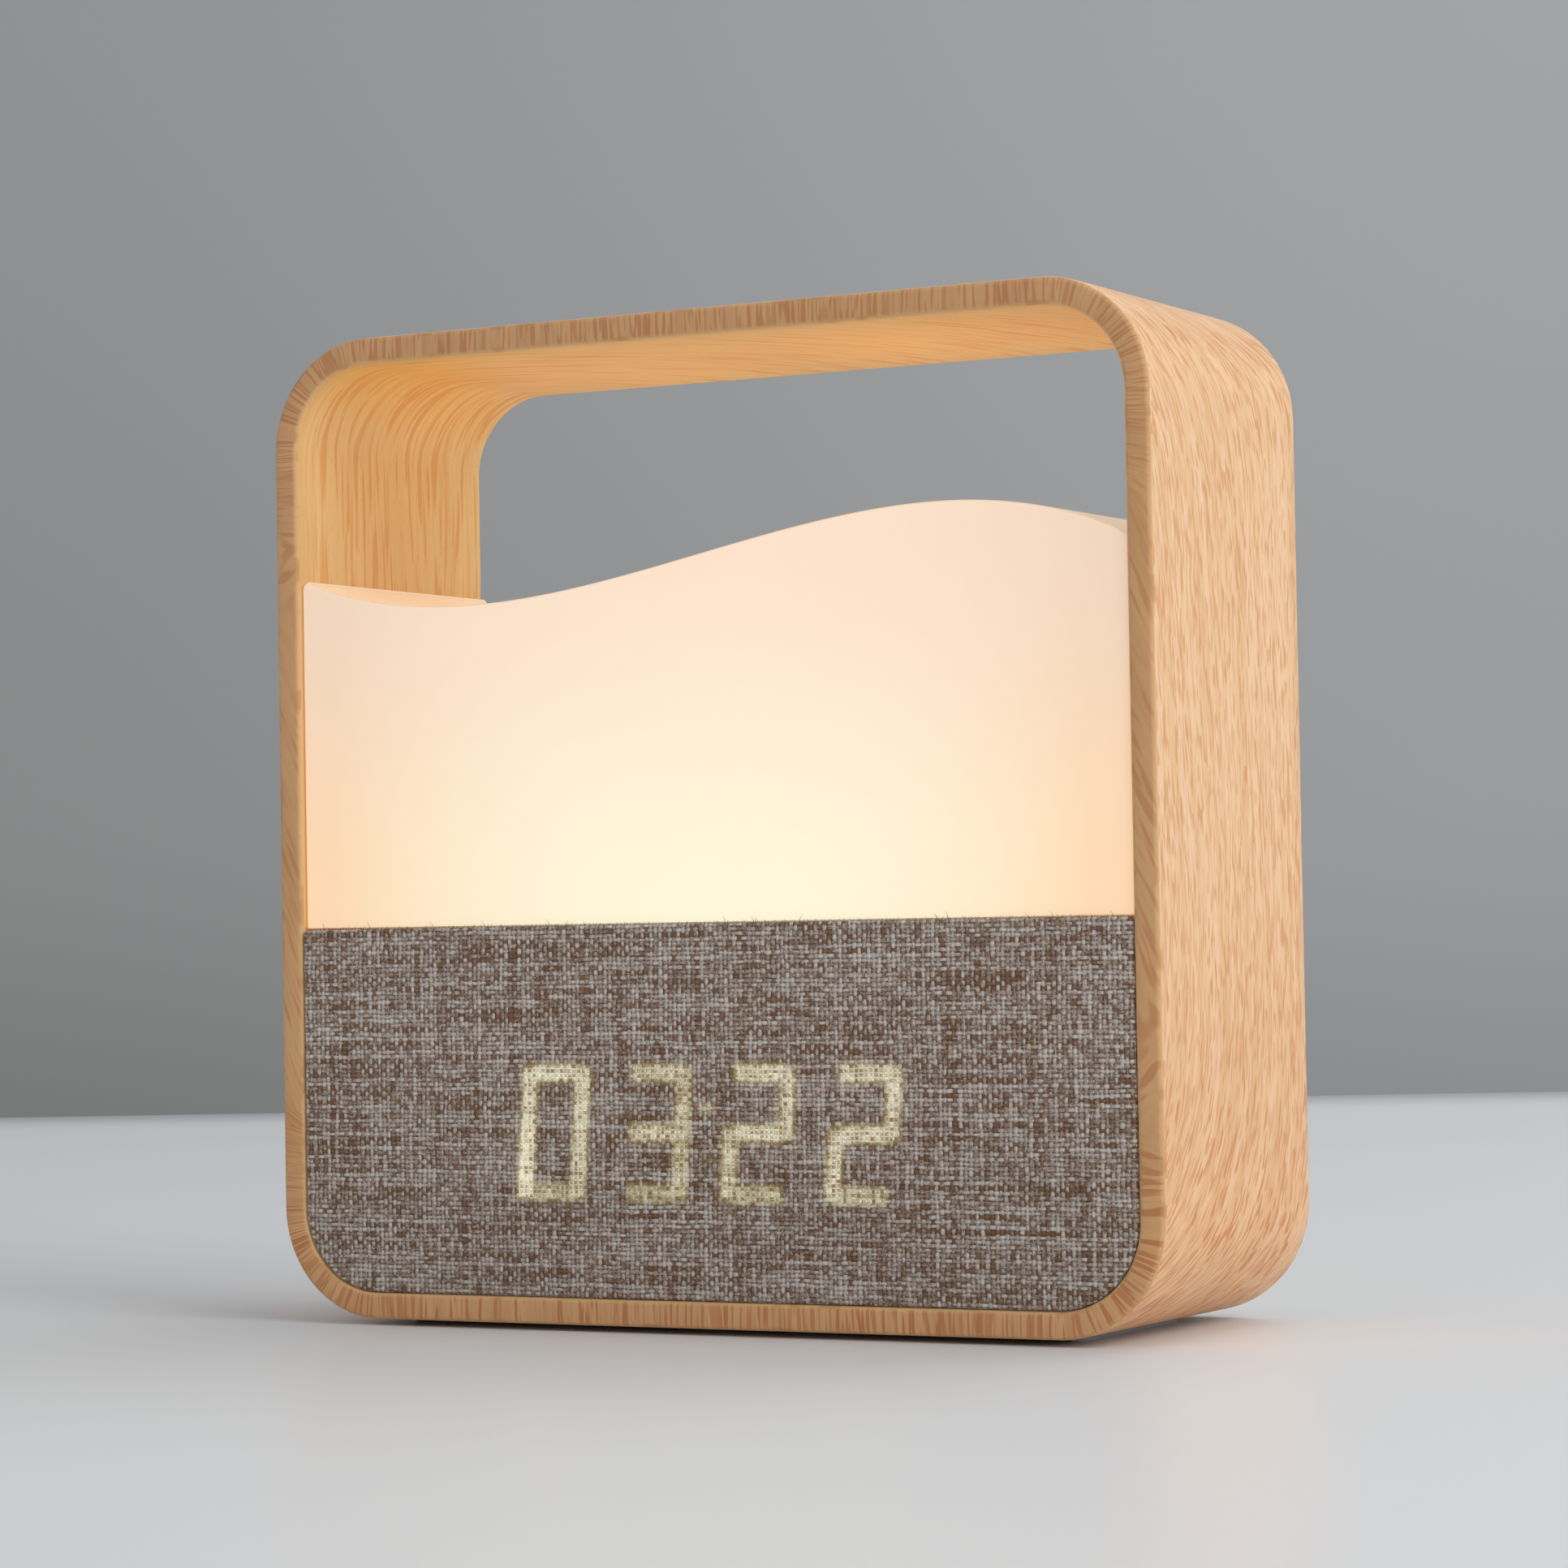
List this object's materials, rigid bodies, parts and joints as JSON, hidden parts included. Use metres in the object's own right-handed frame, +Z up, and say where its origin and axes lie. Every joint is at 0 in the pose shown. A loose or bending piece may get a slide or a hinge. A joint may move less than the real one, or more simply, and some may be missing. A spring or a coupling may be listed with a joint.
{
  "type": "night light alarm clock",
  "caption": "Bedside alarm clock with a milky night light, cloth-covered digital display and a wood-look band that is frame and carrying handle.",
  "frame": {"origin": "on the table, below the middle of the band's width and depth", "axes": "+Z up, the cloth front faces -Y, +X to the right as seen from the front"},
  "size_m": [0.15, 0.054, 0.153],
  "materials": {
    "wood_film": "satin light wood-grain film on moulded plastic",
    "milky_plastic": "milky satin light-diffusing plastic",
    "cloth": "plain weave in mixed light grey and brown yarns",
    "black_rubber": "matte",
    "cover_plastic": "fine-textured warm white",
    "button_plastic": "satin white",
    "dark_plastic": "matte",
    "white_plastic": "satin",
    "segment_plastic": "satin warm white, lit",
    "green_board": "solder mask over glass fibre",
    "white_board": "white solder mask on aluminium",
    "led_resin": "yellow phosphor resin",
    "steel": "zinc plated",
    "paper_cone": "pressed paper",
    "cell_wrap": "shrink sleeve",
    "lead_jacket": "soft insulation"
  },
  "bodies": {
    "clock_body": {"base_pad": "black_rubber", "wood_band": "wood_film", "chassis": "dark_plastic", "lamp_shade": "milky_plastic", "reflector_tray": "white_plastic", "lamp_board": "white_board", "lamp_led_1": "led_resin", "lamp_led_2": "led_resin", "lamp_led_3": "led_resin", "front_cloth": "cloth", "front_panel": "dark_plastic", "display_housing": "dark_plastic", "digit_lens_1": "segment_plastic", "digit_lens_2": "segment_plastic", "digit_lens_3": "segment_plastic", "digit_lens_4": "segment_plastic", "colon_lens": "segment_plastic", "display_board": "green_board", "speaker_frame": "steel", "speaker_cone": "paper_cone", "speaker_magnet": "steel", "rear_cover": "cover_plastic", "control_board": "green_board", "tact_switch_1": "dark_plastic", "tact_switch_2": "dark_plastic", "tact_switch_3": "dark_plastic", "tact_switch_4": "dark_plastic", "slide_switch": "dark_plastic", "power_inlet": "steel", "rechargeable_cell": "cell_wrap", "panel_cup_1": "black_rubber", "panel_cup_2": "black_rubber", "panel_cup_3": "black_rubber", "panel_cup_4": "black_rubber", "band_screw_1": "steel", "band_screw_2": "steel", "cover_screw_1": "steel", "cover_screw_2": "steel", "cover_screw_3": "steel", "cover_screw_4": "steel", "shade_screw_1": "steel", "shade_screw_2": "steel", "display_screw_1": "steel", "display_screw_2": "steel", "board_screw_1": "steel", "board_screw_2": "steel", "display_ribbon": "white_plastic", "lamp_lead": "lead_jacket", "speaker_lead": "lead_jacket", "cell_lead": "lead_jacket"},
    "light_button": {"light_button": "button_plastic", "tact_stem_1": "white_plastic"},
    "set_button": {"set_button": "button_plastic", "tact_stem_2": "white_plastic"},
    "minus_button": {"minus_button": "button_plastic", "tact_stem_3": "white_plastic"},
    "plus_button": {"plus_button": "button_plastic", "tact_stem_4": "white_plastic"},
    "alarm_slider": {"alarm_slider": "button_plastic"}
  },
  "joints": [
    {"name": "light_button_press", "type": "slide", "parent": "clock_body", "child": "light_button", "axis": [0, -1, 0], "range_m": [0, 0.0008], "stiffness_N_per_m": 2000},
    {"name": "set_button_press", "type": "slide", "parent": "clock_body", "child": "set_button", "axis": [0, -1, 0], "range_m": [0, 0.0008], "stiffness_N_per_m": 2000},
    {"name": "minus_button_press", "type": "slide", "parent": "clock_body", "child": "minus_button", "axis": [0, -1, 0], "range_m": [0, 0.0008], "stiffness_N_per_m": 2000},
    {"name": "plus_button_press", "type": "slide", "parent": "clock_body", "child": "plus_button", "axis": [0, -1, 0], "range_m": [0, 0.0008], "stiffness_N_per_m": 2000},
    {"name": "alarm_slide", "type": "slide", "parent": "clock_body", "child": "alarm_slider", "axis": [1, 0, 0], "range_m": [0, 0.003]}
  ]
}
